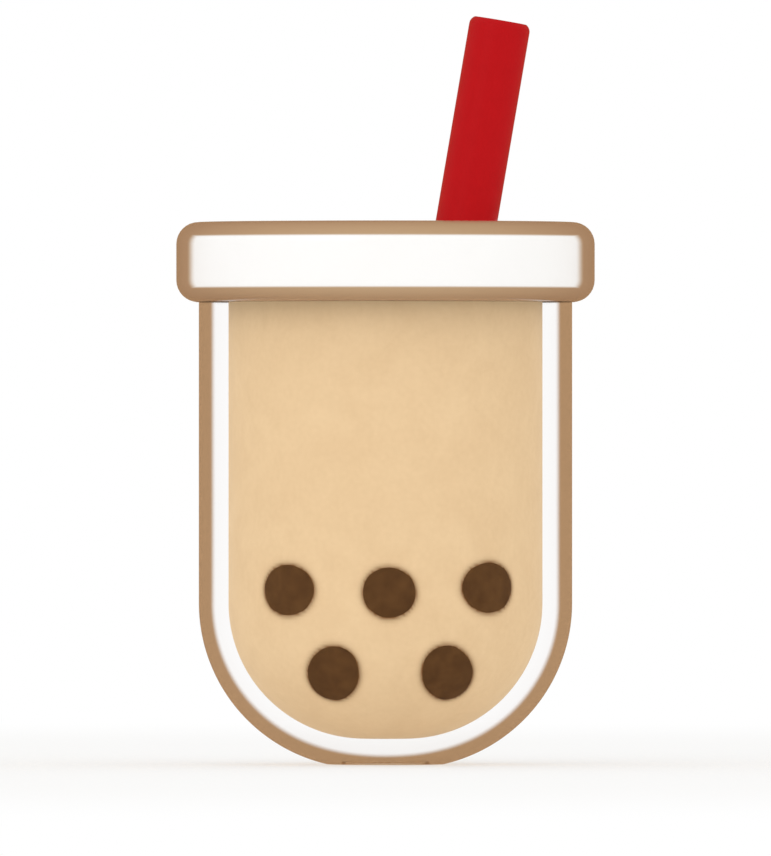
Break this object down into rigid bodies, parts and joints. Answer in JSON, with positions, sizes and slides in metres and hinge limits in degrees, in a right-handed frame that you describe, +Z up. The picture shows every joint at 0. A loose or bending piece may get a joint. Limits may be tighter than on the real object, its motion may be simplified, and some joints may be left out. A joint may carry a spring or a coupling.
{
  "type": "bubble tea",
  "caption": "Milk tea with tapioca pearls in a clear round-bottomed cup, with a white press-on lid and a wide red straw",
  "frame": {"origin": "on the cup's axis, in the plane that the cup stands on", "axes": "+Z up along the cup's axis; -Y towards the front, where five pearls show in rows of three and two; the straw leans towards +X"},
  "size_m": [0.0936, 0.0936, 0.1677],
  "materials": {
    "cup_plastic": "gloss",
    "lid_plastic": "satin",
    "straw_plastic": "satin",
    "milk_tea": "satin",
    "tapioca": "gloss"
  },
  "bodies": {
    "root": {"cup": "cup_plastic", "lid": "lid_plastic", "straw": "straw_plastic", "drink": "milk_tea", "pearl_1": "tapioca", "pearl_2": "tapioca", "pearl_3": "tapioca", "pearl_4": "tapioca", "pearl_5": "tapioca", "pearl_6": "tapioca", "pearl_7": "tapioca", "pearl_8": "tapioca", "pearl_9": "tapioca", "pearl_10": "tapioca", "pearl_11": "tapioca", "pearl_12": "tapioca", "pearl_13": "tapioca", "pearl_14": "tapioca"}
  },
  "joints": []
}
